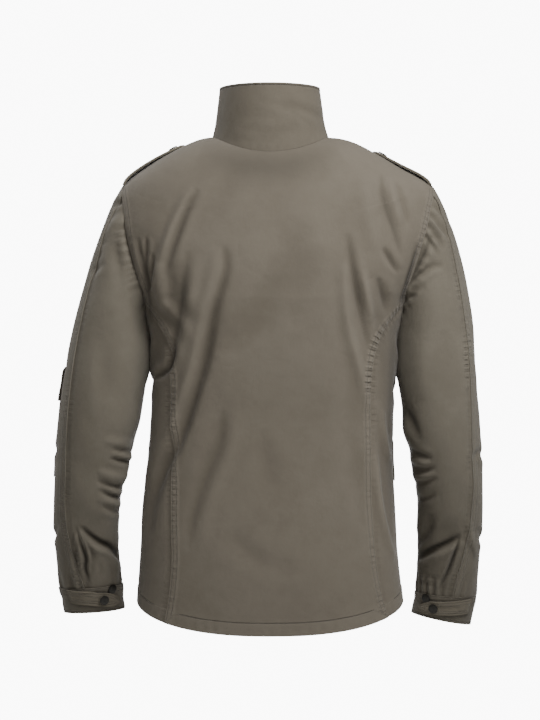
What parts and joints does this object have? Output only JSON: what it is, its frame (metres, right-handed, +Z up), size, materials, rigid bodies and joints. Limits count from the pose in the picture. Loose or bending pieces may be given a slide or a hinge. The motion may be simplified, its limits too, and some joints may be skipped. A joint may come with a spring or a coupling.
{
  "type": "motorcycle jacket",
  "caption": "Stand-collar cotton jacket filled out as worn, with zip front, epaulettes, flap pockets and tabbed cuffs, hollow and open at neck, hem and cuffs.",
  "frame": {"origin": "the middle of the neck's base, where the wearer's neck and shoulders hold the jacket", "axes": "+Z up the neck, -Y to the front, +X to the wearer's left"},
  "size_m": [0.6479, 0.2432, 0.8111],
  "materials": {
    "cotton_twill": "matte, garment washed olive brown",
    "snap_enamel": "dark enamel, satin",
    "zip_coil": "dark tape and teeth",
    "zip_metal": "dark nickel"
  },
  "bodies": {
    "jacket": {"back": "cotton_twill", "collar": "cotton_twill", "cuff_left": "cotton_twill", "cuff_right": "cotton_twill", "cuff_snap_spare_left": "snap_enamel", "cuff_snap_spare_right": "snap_enamel", "cuff_snap_tab_left": "snap_enamel", "cuff_snap_tab_right": "snap_enamel", "cuff_tab_left": "cotton_twill", "cuff_tab_right": "cotton_twill", "epaulette_left": "cotton_twill", "epaulette_right": "cotton_twill", "epaulette_snap_left": "snap_enamel", "epaulette_snap_right": "snap_enamel", "front_left": "cotton_twill", "front_right": "cotton_twill", "pocket_flap_left": "cotton_twill", "pocket_flap_right": "cotton_twill", "pocket_left": "cotton_twill", "pocket_right": "cotton_twill", "pocket_snap_left": "snap_enamel", "pocket_snap_right": "snap_enamel", "side_left": "cotton_twill", "side_right": "cotton_twill", "sleeve_flap": "cotton_twill", "sleeve_pocket": "cotton_twill", "sleeve_snap": "snap_enamel", "sleeve_under_left": "cotton_twill", "sleeve_under_right": "cotton_twill", "sleeve_upper_left": "cotton_twill", "sleeve_upper_right": "cotton_twill", "zip": "zip_coil", "zip_slider": "zip_metal"},
    "pull_tab": {"zip_pull": "zip_metal"}
  },
  "joints": [
    {"name": "pull_tab_swing", "type": "hinge", "parent": "jacket", "child": "pull_tab", "pos_m": [0, -0.08057, 0.04041], "axis": [-1, 0, 0], "range_deg": [0, 135]}
  ]
}
